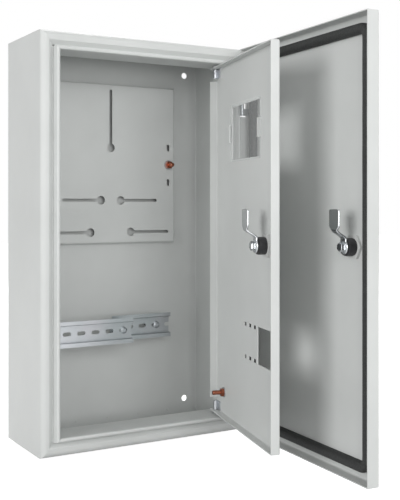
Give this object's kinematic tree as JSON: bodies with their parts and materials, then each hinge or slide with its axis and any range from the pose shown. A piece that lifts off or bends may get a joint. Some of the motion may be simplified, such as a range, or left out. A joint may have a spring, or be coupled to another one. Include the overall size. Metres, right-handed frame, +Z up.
{
  "type": "electric meter box",
  "caption": "Wall-mounted sheet-steel meter box: outer door with foam seal and inner door with meter window, both with cam locks, over a meter plate and top-hat rails.",
  "frame": {"origin": "centre of the rectangle of the four wall holes, on the outer plane of the back", "axes": "+X to the right seen from the front, +Y into the wall, +Z up"},
  "size_m": [0.3119, 0.429, 0.54],
  "materials": {
    "paint": "satin light grey powder coat",
    "zinc": "bright zinc plate",
    "chrome": "polished plated casting",
    "copper": "copper plate",
    "black": "black moulding",
    "foam": "closed-cell foam",
    "nut": "pale grey moulding",
    "clear": "clear sheet"
  },
  "bodies": {
    "casing": {"casing_wrap": "paint", "top_cap": "paint", "bottom_cap": "paint", "meter_plate": "paint", "plate_earth_stud": "copper", "plate_earth_washer": "zinc", "plate_earth_nut": "copper", "rear_rail": "zinc", "front_rail": "zinc", "rail_wall_posts": "zinc", "rail_spacer": "zinc", "rail_screws": "zinc", "outer_hinge_upper_leaf": "zinc", "outer_hinge_lower_leaf": "zinc", "inner_hinge_upper_washer": "zinc", "inner_hinge_lower_washer": "zinc", "inner_hinge_upper_pin": "zinc", "inner_hinge_lower_pin": "zinc"},
    "outer_door": {"outer_door": "paint", "outer_door_seal": "foam", "outer_hinge_upper_eyes": "zinc", "outer_hinge_lower_eyes": "zinc", "outer_hinge_upper_pin": "zinc", "outer_hinge_lower_pin": "zinc", "outer_lock_barrel": "black", "outer_lock_nut": "nut"},
    "outer_cam": {"outer_lock_core": "zinc", "outer_lock_cam": "chrome", "outer_lock_bolt": "zinc"},
    "inner_door": {"inner_door": "paint", "inner_hinge_upper_barrel": "zinc", "inner_hinge_lower_barrel": "zinc", "meter_window": "clear", "door_earth_stud": "copper", "door_earth_washer": "zinc", "door_earth_nut": "copper", "inner_lock_barrel": "black", "inner_lock_nut": "nut"},
    "inner_cam": {"inner_lock_core": "zinc", "inner_lock_cam": "chrome", "inner_lock_bolt": "zinc"}
  },
  "joints": [
    {"name": "outer_door_hinge", "type": "hinge", "parent": "casing", "child": "outer_door", "pos_m": [0.147, -0.133, 0], "axis": [0, 0, 1], "range_deg": [-85.5, 19.5]},
    {"name": "inner_door_hinge", "type": "hinge", "parent": "casing", "child": "inner_door", "pos_m": [0.1175, -0.1103, 0], "axis": [0, 0, 1], "range_deg": [-75.5, 17.5]},
    {"name": "outer_cam_turn", "type": "hinge", "parent": "outer_door", "child": "outer_cam", "pos_m": [0.14118, -0.38281, 0], "axis": [0.9969, -0.0785, 0], "range_deg": [0, 90]},
    {"name": "inner_cam_turn", "type": "hinge", "parent": "inner_door", "child": "inner_cam", "pos_m": [0.07044, -0.30626, 0], "axis": [0.9681, -0.2504, 0], "range_deg": [0, 90]}
  ],
  "couplings": [
    {"joint": "inner_door_hinge", "follows": "outer_door_hinge", "ratio": 0.88304}
  ]
}
